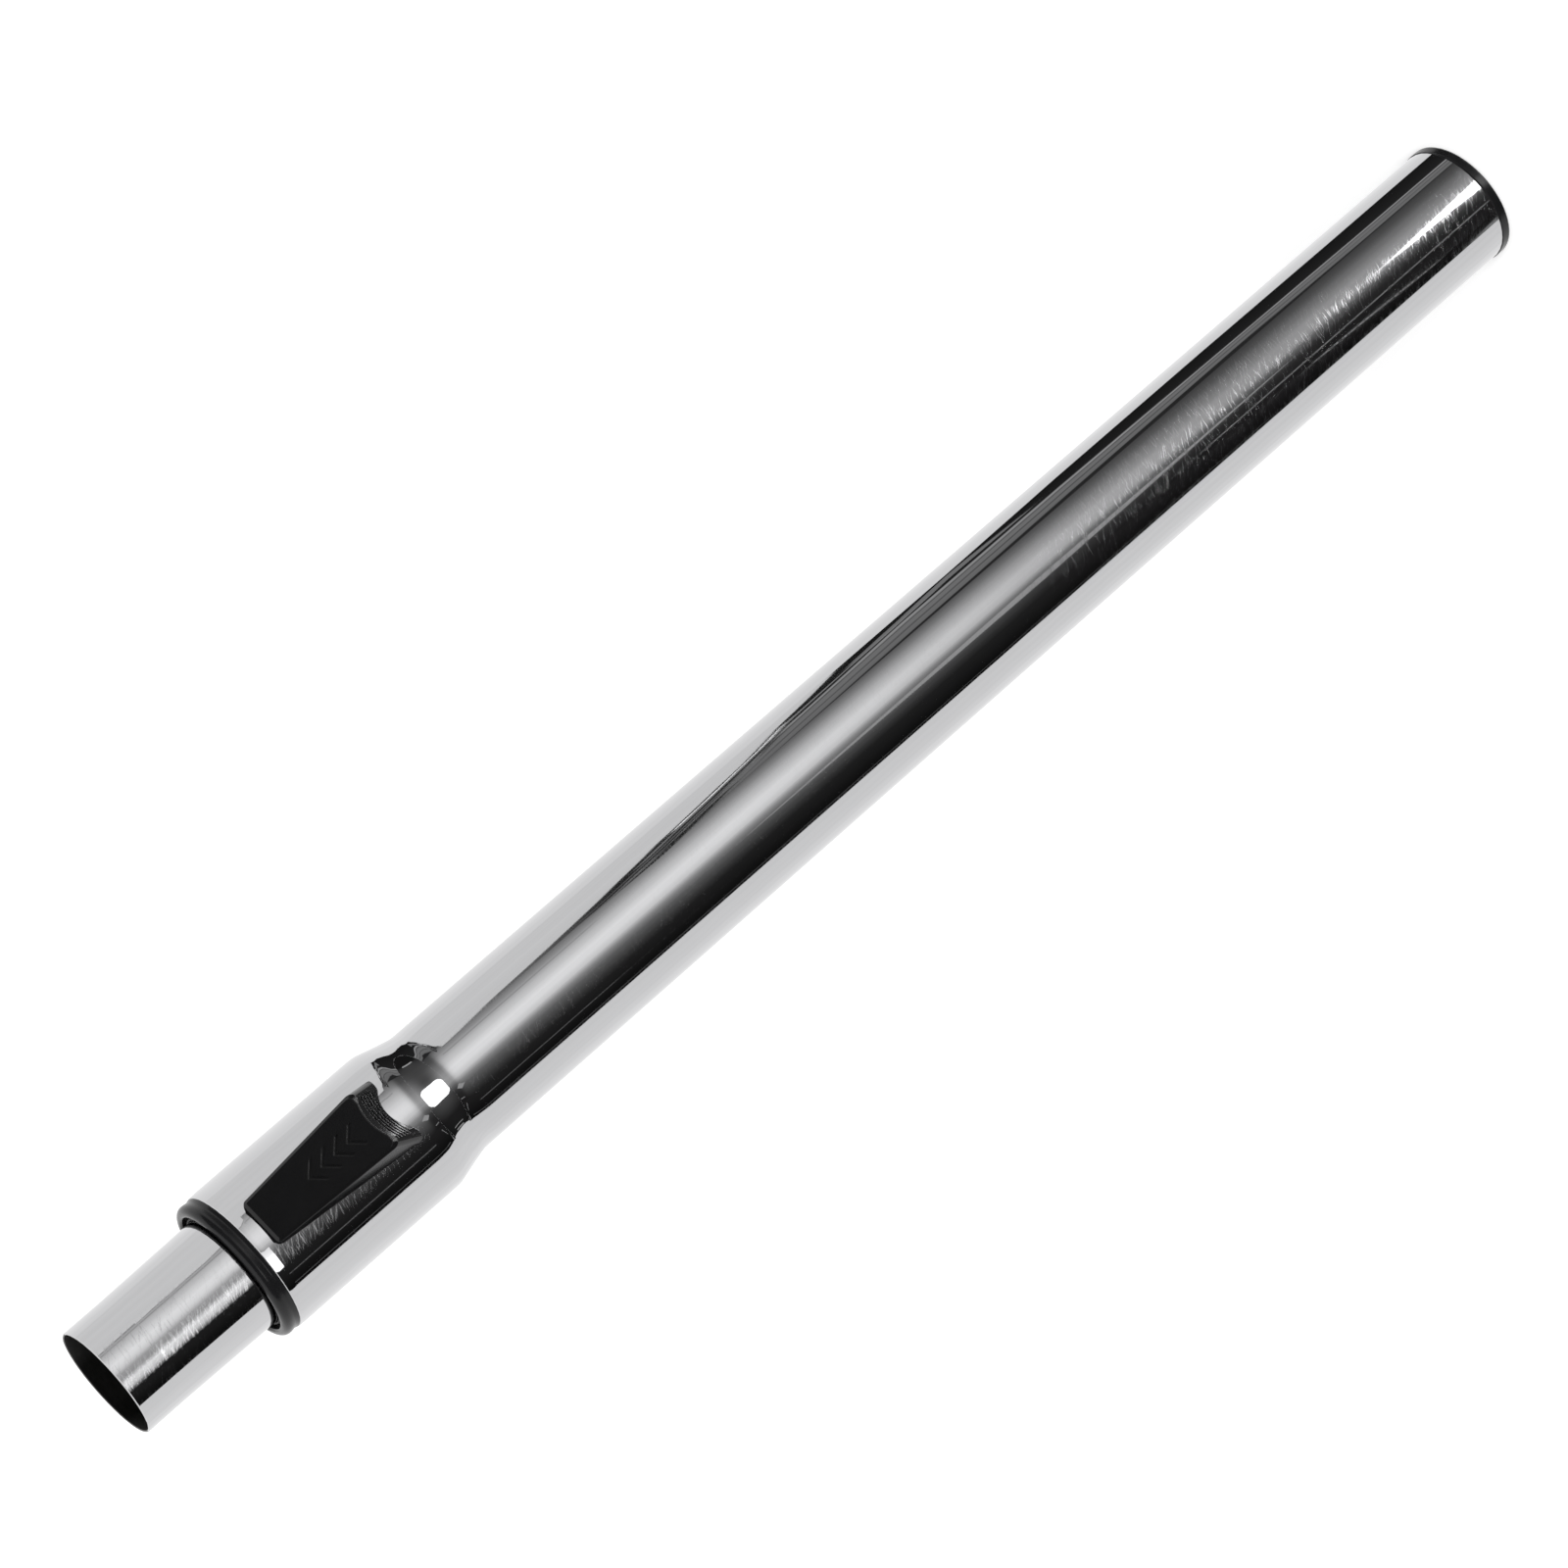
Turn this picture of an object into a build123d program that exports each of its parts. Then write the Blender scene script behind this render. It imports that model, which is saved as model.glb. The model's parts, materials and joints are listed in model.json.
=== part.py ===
from build123d import *
import os
from math import atan, cos, degrees, radians, sin

# Telescopic vacuum extension tube, pushed in and standing on its hose end.
# Z is the tube's axis with the mouth at the top, and the release button faces -Y.
# All sizes are in millimetres.

# Inner tube: the diameter that everything else is built out from
INNER_DIAMETER = 32.2
INNER_WALL = 0.6
SPIGOT_TAPER = 0.4
SPIGOT_LAND = 12.0
EXPOSED_LENGTH = 40.3
MOUTH_BEVEL = 0.2

# Outer tube and its bell
TELESCOPE_GAP = 1.1
TUBE_WALL = 0.8
BELL_RISE = 2.7
SHOULDER_LENGTH = 10.5
SHOULDER_ROUNDING = 10.0
RIM_CURL_LENGTH = 2.6
RIM_CURL_DROP = 0.15
RIM_BEVEL = 0.2

# End collar with the hose socket
FLANGE_THICKNESS = 3.0
FLANGE_OVERHANG = 0.2
FLANGE_ROUNDING = 0.5
COLLAR_WALL = 1.05
SOCKET_DEPTH = 41.0
COLLAR_LEAD_IN = 0.5

# Telescope travel and its detents
TRAVEL = 330.0
DETENT_STEPS = 12
FLAT_DEPTH = 0.86
FLAT_RUN_OUT = 0.7
FLAT_SLANT = 3.0
DETENT_DEPTH = 1.54
DETENT_END_GAP = 0.4

# Tail guide and its seal
TAIL_GAP = 5.2
TAIL_LENGTH = 28.0
TAIL_LIP = 1.0
TAIL_RUN_GAP = 0.25
PEG_DIAMETER = 3.8
PEG_HEIGHT = 18.0
SEAL_HEIGHT = 7.0
SEAL_WIDTH = 3.0
SEAL_GROOVE = 0.4
SEAL_RUN_GAP = 0.15

# Guide sleeve
SLEEVE_SEAT = 4.0
CHANNEL_FOOT = 6.0
CHANNEL_FLOOR = 0.65
KEY_BELOW = 9.7
KEY_ABOVE = 3.2
KEY_GAP = 0.25
SLEEVE_LEAD_IN = 0.4

# Lock slide, roller and spring
ROLLER_DIAMETER = 4.4
ROLLER_LENGTH = 6.8
ROLLER_BEVEL = 0.2
RELEASE_CLEARANCE = 0.36
BUTTON_TRAVEL = 4.0
SLIDE_TAIL = 13.2
SLIDE_NOSE = 13.0
SLIDE_WIDTH = 12.8
BOSS_WIDTH = 9.8
BOSS_TAIL = 8.4
BOSS_SETBACK = 0.4
BOSS_HEIGHT = 1.8
RAMP_LENGTH = 5.5
RAMP_ROOM = 1.7
SPRING_LENGTH = 8.7
SPRING_WIRE = 0.4
SPRING_TURNS = 4
SPRING_GAP = 0.175
SPRING_PEG_LENGTH = 2.0
WINDOW_ROUNDING = 1.0

# Front ring and wiper
RING_SKIRT = 8.8
RING_HEIGHT = 4.4
RING_LIP_HEIGHT = 0.2
RING_LIP_INSET = 0.3
RING_WAIST_HEIGHT = 1.0
RING_WAIST_INSET = 0.55
RING_WAIST_ROUNDING = 1.5
RING_BEAD_HEIGHT = 2.3
RING_BEAD_INSET = 0.36
RING_BEAD_ROUNDING = 2.0
RING_NOSE_OUTER = 1.7
RING_NOSE_INNER = 0.6
RECESS_WIDTH = 1.6
RECESS_DEPTH = 3.2
WIPER_HEIGHT = 1.0
WIPER_LIP_HEIGHT = 1.2
WIPER_LIP_WIDTH = 0.45

# Button
BUTTON_NOSE = 13.0
BUTTON_LENGTH = 37.1
BUTTON_FRONT_HEIGHT = 1.9
BUTTON_REAR_HEIGHT = 7.2
BUTTON_FRONT_WIDTH = 13.2
BUTTON_REAR_WIDTH = 17.8
BUTTON_DRAFT = 5.0
BUTTON_CORNER = 1.2
BUTTON_BEVEL = 0.8
BUTTON_WALL = 1.6
HORN_LENGTH = 7.8
HORN_ROUNDING = 2.0
SCOOP_RADIUS = 18.0
SCOOP_ANGLE = 46.5
SCOOP_DEPTH = 1.25
SCOOP_ROUNDING = 0.6
GRIP_COUNT = 5
GRIP_FIRST = 2.2
GRIP_PITCH = 1.4
GRIP_WIDTH = 0.6
GRIP_DEPTH = 0.35
CHEVRON_COUNT = 4
CHEVRON_FIRST = 15.6
CHEVRON_PITCH = 4.2
CHEVRON_ARM = 4.6
CHEVRON_STROKE = 0.7
CHEVRON_ANGLE = 45.0
CHEVRON_DEPTH = 0.3

# Clearances
PRESS_GAP = 0.05
SLIDE_GAP = 0.2
LOCK_GAP = 0.3
LOCK_PLAY = 0.15
ROLLER_GAP = 0.1
STOP_GAP = 0.3

# Radii, from the inner tube outwards
inner_radius = INNER_DIAMETER / 2
inner_bore = inner_radius - INNER_WALL
spigot_radius = inner_radius - SPIGOT_TAPER
tube_bore = inner_radius + TELESCOPE_GAP
tube_radius = tube_bore + TUBE_WALL
bell_bore = tube_bore + BELL_RISE
bell_radius = tube_radius + BELL_RISE
guide_bore = inner_radius + SLIDE_GAP
channel_floor = guide_bore + CHANNEL_FLOOR

# Heights, from the collar's face to the mouth
tail_bottom = SOCKET_DEPTH + TAIL_GAP
tail_top = tail_bottom + TAIL_LENGTH
sleeve_bottom = tail_top + TRAVEL + STOP_GAP
bell_start = sleeve_bottom - SLEEVE_SEAT
shoulder_start = bell_start - SHOULDER_LENGTH
channel_start = sleeve_bottom + CHANNEL_FOOT
slide_tail = channel_start + LOCK_GAP
roller_height = slide_tail + SLIDE_TAIL
slide_nose = roller_height + SLIDE_NOSE
sleeve_top = slide_nose + SPRING_LENGTH
bell_end = sleeve_top + RING_SKIRT
ring_top = bell_end + RING_HEIGHT
mouth = ring_top + EXPOSED_LENGTH

# Lock: the roller rests in a detent and is lifted clear of the flat by the ramp
flat_distance = inner_radius - FLAT_DEPTH
roller_radius = ROLLER_DIAMETER / 2
detent_radius = roller_radius + ROLLER_GAP
roller_distance = flat_distance - DETENT_DEPTH + detent_radius
roller_lift = DETENT_DEPTH - ROLLER_GAP + RELEASE_CLEARANCE
ramp_slope = roller_lift / BUTTON_TRAVEL
land_distance = roller_distance + roller_radius + LOCK_PLAY
slide_floor = channel_floor + LOCK_GAP
boss_top = bell_radius + BOSS_HEIGHT
boss_tail = roller_height - BOSS_TAIL
boss_nose = slide_nose - BOSS_SETBACK
spring_diameter = bell_bore - channel_floor - 2 * SPRING_GAP
spring_distance = (bell_bore + channel_floor) / 2
key_start = roller_height - KEY_BELOW
key_end = roller_height + KEY_ABOVE

# Button: its sloping top face and the scoop's line, in the middle plane
button_bore = bell_radius + LOCK_GAP
button_front = slide_nose + BUTTON_NOSE
button_slope = degrees(atan((BUTTON_REAR_HEIGHT - BUTTON_FRONT_HEIGHT) / BUTTON_LENGTH))
button_face_length = BUTTON_LENGTH / cos(radians(button_slope))
rear_edge = (button_front - BUTTON_LENGTH, bell_radius + BUTTON_REAR_HEIGHT)
button_reach = 2 * BUTTON_REAR_HEIGHT

# Side view plane: its x is the height along the tube, its y the distance from the axis
# towards the button
SIDE = Plane(origin=(0, 0, 0), x_dir=(0, 0, 1), z_dir=(1, 0, 0))


def revolved(edges):
    """Solid of revolution about the tube's axis, from the edges of a closed half section."""
    return revolve(Plane.XZ * make_face(edges), axis=Axis.Z)


def turned(points):
    """Solid of revolution about the tube's axis, from (radius, height) points."""
    return revolved(Polyline(points, close=True).edges())


def ring(bore, radius, bottom, top):
    """Plain ring between two radii and two heights."""
    return turned([(bore, bottom), (radius, bottom), (radius, top), (bore, top)])


def side_prism(points, width):
    """Prism of the given width across the middle plane, from side view points."""
    return extrude(SIDE * make_face(Polyline(points, close=True)), amount=width / 2, both=True)


def side_block(bottom, top, near, far, width):
    """Block between two heights and two distances from the axis."""
    return side_prism([(bottom, near), (top, near), (top, far), (bottom, far)], width)


def cross_roller(height, distance, radius, length):
    """Cylinder across the middle plane, centred at a side view point."""
    return SIDE * Pos(height, distance) * Cylinder(radius, length)


def wall_line(offset, end):
    """Tube wall line from the collar up to a height on the bell, over the shoulder's flank."""
    points = [
        (tube_radius - offset, FLANGE_THICKNESS),
        (tube_radius - offset, shoulder_start),
        (bell_radius - offset, bell_start),
        (bell_radius - offset, end),
    ]
    return FilletPolyline(*points, radius=SHOULDER_ROUNDING).edges()


def make_outer_tube():
    curl_start = bell_end - RIM_CURL_LENGTH
    rim_radius = bell_radius - RIM_CURL_DROP
    foot = Line((tube_bore, FLANGE_THICKNESS), (tube_radius, FLANGE_THICKNESS))
    curl = TangentArc((bell_radius, curl_start), (rim_radius, bell_end), tangent=(0, 1))
    rim = Line((bell_bore, bell_end), (rim_radius, bell_end))
    tube = revolved(wall_line(0, curl_start) + wall_line(TUBE_WALL, bell_end) + [foot, curl, rim])
    rim_edges = tube.edges().filter_by(GeomType.CIRCLE).group_by(Axis.Z)[-1]
    tube = chamfer(rim_edges, RIM_BEVEL)
    window_bottom = boss_tail - LOCK_GAP
    window_top = boss_nose + BUTTON_TRAVEL + LOCK_GAP
    window = RectangleRounded(BOSS_WIDTH + 2 * LOCK_GAP, window_top - window_bottom, WINDOW_ROUNDING)
    cutter = extrude(Plane.XZ * Pos(0, (window_bottom + window_top) / 2) * window, amount=2 * bell_radius)
    return tube - cutter


def make_end_collar():
    radius = tube_bore - PRESS_GAP
    flange_radius = tube_radius + FLANGE_OVERHANG
    bore = radius - COLLAR_WALL
    outline = [
        (bore, 0),
        (flange_radius, 0),
        (flange_radius, FLANGE_THICKNESS),
        (radius, FLANGE_THICKNESS),
        (radius, SOCKET_DEPTH - COLLAR_LEAD_IN),
        (radius - COLLAR_LEAD_IN, SOCKET_DEPTH),
        (bore, SOCKET_DEPTH),
    ]
    collar = turned(outline)
    edges = collar.edges().filter_by(GeomType.CIRCLE)
    flange_edges = [edge for edge in edges if edge.radius > tube_radius]
    return fillet(flange_edges, FLANGE_ROUNDING)


def flat_cutter(distance):
    """Long flat with slanted ends, outwards from the given distance."""
    start = key_start - TRAVEL - FLAT_RUN_OUT
    end = key_end + FLAT_RUN_OUT
    rise = FLAT_DEPTH * 2
    run = FLAT_SLANT * rise / FLAT_DEPTH
    points = [
        (start, distance),
        (end, distance),
        (end + run, distance + rise),
        (start - run, distance + rise),
    ]
    return side_prism(points, INNER_DIAMETER)


def detents(radius, length):
    """Row of cylinders across the flat, one for each stop of the telescope."""
    pitch = TRAVEL / DETENT_STEPS
    heights = [roller_height - step * pitch for step in range(DETENT_STEPS + 1)]
    return [cross_roller(height, roller_distance, radius, length) for height in heights]


def make_inner_tube():
    tail = tail_bottom + TAIL_LIP
    land = mouth - SPIGOT_LAND
    outside = turned([
        (0, tail), (inner_radius, tail), (inner_radius, ring_top),
        (spigot_radius, land), (spigot_radius, mouth), (0, mouth),
    ])
    inside = turned([
        (0, tail), (inner_bore, tail), (inner_bore, ring_top),
        (spigot_radius - INNER_WALL, land), (spigot_radius - INNER_WALL, mouth), (0, mouth),
    ])
    detent_length = ROLLER_LENGTH + 2 * DETENT_END_GAP
    inside -= [flat_cutter(flat_distance - INNER_WALL)]
    inside -= detents(detent_radius + INNER_WALL, detent_length + 2 * INNER_WALL)
    tube = outside - flat_cutter(flat_distance) - detents(detent_radius, detent_length) - inside
    tube -= Pos(0, 0, tail_bottom + PEG_HEIGHT) * Rot(0, 90, 0) * Cylinder(
        PEG_DIAMETER / 2 + PRESS_GAP, INNER_DIAMETER)
    rim_edges = tube.edges().filter_by(GeomType.CIRCLE).group_by(Axis.Z)[-1]
    return chamfer(rim_edges, MOUTH_BEVEL)


def make_tail_guide():
    bore = inner_radius + PRESS_GAP
    radius = tube_bore - TAIL_RUN_GAP
    seal_bottom = tail_bottom + SEAL_HEIGHT
    guide = ring(bore, radius, tail_bottom, tail_top)
    guide += ring(inner_bore, radius, tail_bottom, tail_bottom + TAIL_LIP - PRESS_GAP)
    guide -= ring(radius - SEAL_GROOVE, 2 * radius, seal_bottom, seal_bottom + SEAL_WIDTH)
    peg_length = bore + SEAL_GROOVE - inner_bore
    peg = Rot(0, 90, 0) * Cylinder(PEG_DIAMETER / 2, peg_length)
    for side in (-1, 1):
        guide += Pos(side * (inner_bore + peg_length / 2), 0, tail_bottom + PEG_HEIGHT) * peg
    return guide


def make_tail_seal():
    groove_floor = tube_bore - TAIL_RUN_GAP - SEAL_GROOVE
    bottom = tail_bottom + SEAL_HEIGHT + PRESS_GAP
    top = tail_bottom + SEAL_HEIGHT + SEAL_WIDTH - PRESS_GAP
    return ring(groove_floor + PRESS_GAP, tube_bore - SEAL_RUN_GAP, bottom, top)


def make_guide_sleeve():
    radius = bell_bore - PRESS_GAP
    sleeve = turned([
        (guide_bore, sleeve_bottom),
        (radius - SLEEVE_LEAD_IN, sleeve_bottom),
        (radius, sleeve_bottom + SLEEVE_LEAD_IN),
        (radius, sleeve_top),
        (guide_bore, sleeve_top),
    ])
    key = ring(inner_bore, guide_bore + CHANNEL_FLOOR / 2, key_start, key_end)
    key &= side_block(key_start, key_end, flat_distance + KEY_GAP, bell_radius, INNER_DIAMETER)
    channel = side_block(
        channel_start, sleeve_top, channel_floor, bell_radius, SLIDE_WIDTH + 2 * LOCK_GAP)
    pocket_reach = roller_radius + LOCK_PLAY
    pocket = side_block(
        roller_height - pocket_reach, roller_height + pocket_reach,
        inner_bore - DETENT_DEPTH, bell_radius, ROLLER_LENGTH + 2 * SLIDE_GAP)
    return sleeve + key - channel - pocket


def make_lock_slide():
    plate = side_block(slide_tail, slide_nose, slide_floor, bell_radius, SLIDE_WIDTH)
    plate &= ring(inner_radius / 2, bell_bore - LOCK_GAP, slide_tail, slide_nose)
    boss = side_block(boss_tail, boss_nose, slide_floor, boss_top, BOSS_WIDTH)
    # The ramp line keeps its play to the roller while the roller rises along it
    tilt = atan(ramp_slope)
    ramp_line = roller_distance + (roller_radius + LOCK_PLAY) / cos(tilt)
    ramp_start = roller_height + (ramp_line - land_distance) / ramp_slope
    ramp_end = ramp_start - RAMP_LENGTH
    ramp_roof = land_distance + RAMP_LENGTH * ramp_slope
    pocket_front = roller_height + roller_radius + LOCK_GAP
    pocket = side_prism([
        (pocket_front, inner_radius),
        (pocket_front, land_distance),
        (ramp_start, land_distance),
        (ramp_end, ramp_roof),
        (ramp_end - RAMP_ROOM, ramp_roof),
        (ramp_end - RAMP_ROOM, inner_radius),
    ], ROLLER_LENGTH + 2 * SLIDE_GAP)
    peg_radius = spring_diameter / 2 - SPRING_WIRE - LOCK_PLAY
    peg = Pos(0, -spring_distance, slide_nose + SPRING_PEG_LENGTH / 2) * Cylinder(
        peg_radius, SPRING_PEG_LENGTH)
    return plate + boss - pocket + peg


def make_lock_roller():
    roller = cross_roller(roller_height, roller_distance, roller_radius, ROLLER_LENGTH)
    return chamfer(roller.edges().filter_by(GeomType.CIRCLE), ROLLER_BEVEL)


def make_return_spring():
    bottom = slide_nose + SPRING_WIRE / 2
    height = SPRING_LENGTH - SPRING_WIRE
    coil = Helix(height / SPRING_TURNS, height, (spring_diameter - SPRING_WIRE) / 2)
    section = Plane(origin=coil @ 0, z_dir=coil % 0) * Circle(SPRING_WIRE / 2)
    return Pos(0, -spring_distance, bottom) * sweep(section, path=coil)


def make_front_ring():
    lip_radius = bell_radius - RING_LIP_INSET
    waist_radius = bell_radius - RING_WAIST_INSET
    bead_radius = bell_radius - RING_BEAD_INSET
    skirt_radius = bell_bore - PRESS_GAP
    recess_radius = inner_radius + RECESS_WIDTH
    recess_floor = ring_top - RECESS_DEPTH
    # Each corner of the half section is (radius, height, rounding)
    corners = [
        (guide_bore, sleeve_top, 0),
        (skirt_radius, sleeve_top, 0),
        (skirt_radius, bell_end, 0),
        (lip_radius, bell_end, 0),
        (lip_radius, bell_end + RING_LIP_HEIGHT, 0),
        (waist_radius, bell_end + RING_WAIST_HEIGHT, RING_WAIST_ROUNDING),
        (bead_radius, bell_end + RING_BEAD_HEIGHT, RING_BEAD_ROUNDING),
        (bead_radius, ring_top, RING_NOSE_OUTER),
        (recess_radius, ring_top, RING_NOSE_INNER),
        (recess_radius, recess_floor, 0),
        (guide_bore, recess_floor, 0),
    ]
    points = [(radius, height) for radius, height, rounding in corners]
    roundings = [rounding for radius, height, rounding in corners]
    return revolved(FilletPolyline(*points, radius=roundings, close=True).edges())


def make_wiper_ring():
    bore = inner_radius + SLIDE_GAP
    radius = inner_radius + RECESS_WIDTH - PRESS_GAP
    bottom = ring_top - RECESS_DEPTH
    top = bottom + WIPER_HEIGHT
    return turned([
        (bore, bottom),
        (radius, bottom),
        (radius, top),
        (bore + 2 * WIPER_LIP_WIDTH, top),
        (bore + WIPER_LIP_WIDTH, top + WIPER_LIP_HEIGHT),
        (bore, top + WIPER_LIP_HEIGHT),
    ])


def button_face():
    """Plane of the button's top face from its front edge, with Y rearwards and Z into the button."""
    tilt = radians(button_slope)
    return Plane(
        origin=(0, -bell_radius - BUTTON_FRONT_HEIGHT, button_front),
        x_dir=(1, 0, 0),
        z_dir=(0, cos(tilt), -sin(tilt)),
    )


def button_wedge(inset, sink):
    """Drafted wedge under the button's top face, made smaller by a wall if asked."""
    length = button_face_length + button_reach
    widening = (BUTTON_REAR_WIDTH - BUTTON_FRONT_WIDTH) / 2 / button_face_length
    front_half = BUTTON_FRONT_WIDTH / 2 - inset
    rear_half = BUTTON_FRONT_WIDTH / 2 + widening * length - inset
    corners = [(front_half, inset), (rear_half, length), (-rear_half, length), (-front_half, inset)]
    outline = make_face(Polyline(corners, close=True))
    front_corners = outline.vertices().group_by(Axis.Y)[0]
    outline = fillet(front_corners, BUTTON_CORNER - inset / 2)
    return extrude(button_face() * Pos(0, 0, sink) * outline, amount=2 * button_reach, taper=-BUTTON_DRAFT)


def rear_cutter():
    """Space behind the button's slanted rear plane and beyond the tips of its horns."""
    tilt = radians(SCOOP_ANGLE)
    drop = HORN_LENGTH * sin(tilt) / cos(tilt)
    tip = (rear_edge[0] - HORN_LENGTH, rear_edge[1] - drop)
    return side_prism([
        (rear_edge[0] + button_reach * cos(tilt), rear_edge[1] + button_reach * sin(tilt)),
        tip,
        (tip[0], 0),
        (tip[0] - 2 * button_reach, 0),
        (tip[0] - 2 * button_reach, 2 * rear_edge[1]),
    ], 4 * BUTTON_REAR_WIDTH)


def scoop_place(depth):
    """Place on the scoop's axis beside the rear edge, with its Z along the slanted rear plane."""
    tilt = radians(SCOOP_ANGLE)
    axis_offset = SCOOP_RADIUS - depth
    axis_point = (rear_edge[0] - axis_offset * sin(tilt), rear_edge[1] + axis_offset * cos(tilt))
    return SIDE * Pos(*axis_point) * Rot(0, 0, SCOOP_ANGLE) * Rot(0, 90, 0)


def scoop_cutter(depth):
    """Round finger scoop along the slanted rear plane."""
    return scoop_place(depth) * Cylinder(SCOOP_RADIUS, 2 * (rear_edge[1] + HORN_LENGTH))


def grip_cutters():
    """Grooves across the scoop that keep a thumb from slipping."""
    groove = Cylinder(SCOOP_RADIUS + GRIP_DEPTH, GRIP_WIDTH)
    depths = [GRIP_FIRST + step * GRIP_PITCH for step in range(GRIP_COUNT)]
    return [scoop_place(SCOOP_DEPTH) * Pos(0, 0, -depth) * groove for depth in depths]


def chevron_marks():
    """Shallow arrow strokes on the button's top face that point towards the mouth."""
    lean = radians(CHEVRON_ANGLE)
    reach = CHEVRON_ARM * sin(lean)
    drop = CHEVRON_ARM * cos(lean)
    stroke = CHEVRON_STROKE / sin(lean)
    strokes = []
    for step in range(CHEVRON_COUNT):
        apex = CHEVRON_FIRST + step * CHEVRON_PITCH
        outline = Polyline([
            (0, apex), (reach, apex + drop), (reach, apex + drop + stroke),
            (0, apex + stroke), (-reach, apex + drop + stroke), (-reach, apex + drop),
        ], close=True)
        strokes.append(extrude(button_face() * make_face(outline), amount=CHEVRON_DEPTH, both=True))
    return strokes


def facing(shape, direction):
    """Plane face of a shape that looks most nearly in a direction."""
    return shape.faces().filter_by(GeomType.PLANE).sort_by(lambda face: face.normal_at().dot(direction))[-1]


def make_slide_button():
    scoop_tilt = radians(SCOOP_ANGLE)
    face_tilt = radians(button_slope)
    rearwards = Vector(0, -cos(scoop_tilt), -sin(scoop_tilt))
    upwards = Vector(0, -cos(face_tilt), sin(face_tilt))
    button = button_wedge(0, 0) - rear_cutter()
    horn_edges = facing(button, rearwards).edges().sort_by(Axis.X)
    button = fillet([horn_edges[0], horn_edges[-1]], HORN_ROUNDING)
    button = chamfer(facing(button, upwards).edges(), BUTTON_BEVEL)
    button -= scoop_cutter(SCOOP_DEPTH)
    button = fillet(facing(button, upwards).edges().filter_by(GeomType.ELLIPSE), SCOOP_ROUNDING)
    button -= grip_cutters()
    button -= chevron_marks()
    socket_block = side_block(
        boss_tail - BUTTON_WALL, boss_nose + BUTTON_WALL,
        0, boss_top + BUTTON_REAR_HEIGHT, BOSS_WIDTH + 2 * BUTTON_WALL)
    socket = side_block(
        boss_tail - PRESS_GAP, boss_nose + PRESS_GAP, 0, boss_top + PRESS_GAP, BOSS_WIDTH + 2 * PRESS_GAP)
    hollow = button_wedge(BUTTON_WALL, BUTTON_WALL) - socket_block
    hollow -= Pos(0, 0, BUTTON_WALL) * rear_cutter()
    hollow -= scoop_cutter(SCOOP_DEPTH + BUTTON_WALL)
    button -= hollow
    button -= socket
    return button - Pos(0, 0, mouth / 2) * Cylinder(button_bore, mouth)


PIECES = {
    "outer_tube": make_outer_tube,
    "end_collar": make_end_collar,
    "guide_sleeve": make_guide_sleeve,
    "front_ring": make_front_ring,
    "wiper_ring": make_wiper_ring,
    "slide_button": make_slide_button,
    "lock_slide": make_lock_slide,
    "lock_roller": make_lock_roller,
    "return_spring": make_return_spring,
    "inner_tube": make_inner_tube,
    "tail_guide": make_tail_guide,
    "tail_seal": make_tail_seal,
}

os.makedirs("parts", exist_ok=True)
for name, make_piece in PIECES.items():
    export_step(make_piece(), f"parts/{name}.step")
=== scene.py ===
import json
from math import cos, pi, radians, sin

import bmesh
import bpy
from mathutils import Matrix, Vector


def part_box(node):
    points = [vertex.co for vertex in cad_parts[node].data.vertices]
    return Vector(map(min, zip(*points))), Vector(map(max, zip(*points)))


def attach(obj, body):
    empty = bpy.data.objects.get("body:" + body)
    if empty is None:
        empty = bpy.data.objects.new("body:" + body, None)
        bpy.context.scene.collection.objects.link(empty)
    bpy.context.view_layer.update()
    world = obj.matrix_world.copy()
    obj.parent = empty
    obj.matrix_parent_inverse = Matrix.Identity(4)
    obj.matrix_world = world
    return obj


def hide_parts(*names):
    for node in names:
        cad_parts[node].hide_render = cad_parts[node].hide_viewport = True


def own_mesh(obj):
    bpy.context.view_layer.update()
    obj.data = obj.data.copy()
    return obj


# Telescopic vacuum extension tube in chromed steel and black plastic, standing on its hose end.
# Lengths are in metres and angles in degrees. An azimuth of 0 is -Y, and it grows towards +X.

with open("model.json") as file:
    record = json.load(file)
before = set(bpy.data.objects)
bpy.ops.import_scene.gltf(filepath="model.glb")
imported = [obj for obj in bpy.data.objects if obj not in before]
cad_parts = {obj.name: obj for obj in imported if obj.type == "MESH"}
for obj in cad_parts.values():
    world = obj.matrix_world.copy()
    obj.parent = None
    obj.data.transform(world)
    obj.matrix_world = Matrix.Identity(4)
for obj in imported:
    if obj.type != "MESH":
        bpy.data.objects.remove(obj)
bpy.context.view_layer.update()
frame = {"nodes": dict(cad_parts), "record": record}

# Camera, fitted to the photograph's outline of the tube
CAMERA_AZIMUTH = -11.5
CAMERA_DISTANCE = 1.1655
CAMERA_HEIGHT = 0.7151
CAMERA_AIM = (0.0013, -0.0003, 0.2656)
CAMERA_ROLL = -131.1
CAMERA_LENS = 111.11
SENSOR_WIDTH = 36.0

# Light
WHITE = (1.0, 1.0, 1.0, 1.0)
SKY_LEVEL = 0.6
SUN_STRENGTH = 1.5
SUN_ELEVATION = 58.0
SUN_ANGLE = 25.0
FLOOR_COLOUR = (0.93, 0.93, 0.93, 1.0)
FLOOR_LIFT = 0.24
FLOOR_RADIUS = 10.0
FLOOR_SIDES = 64

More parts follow.
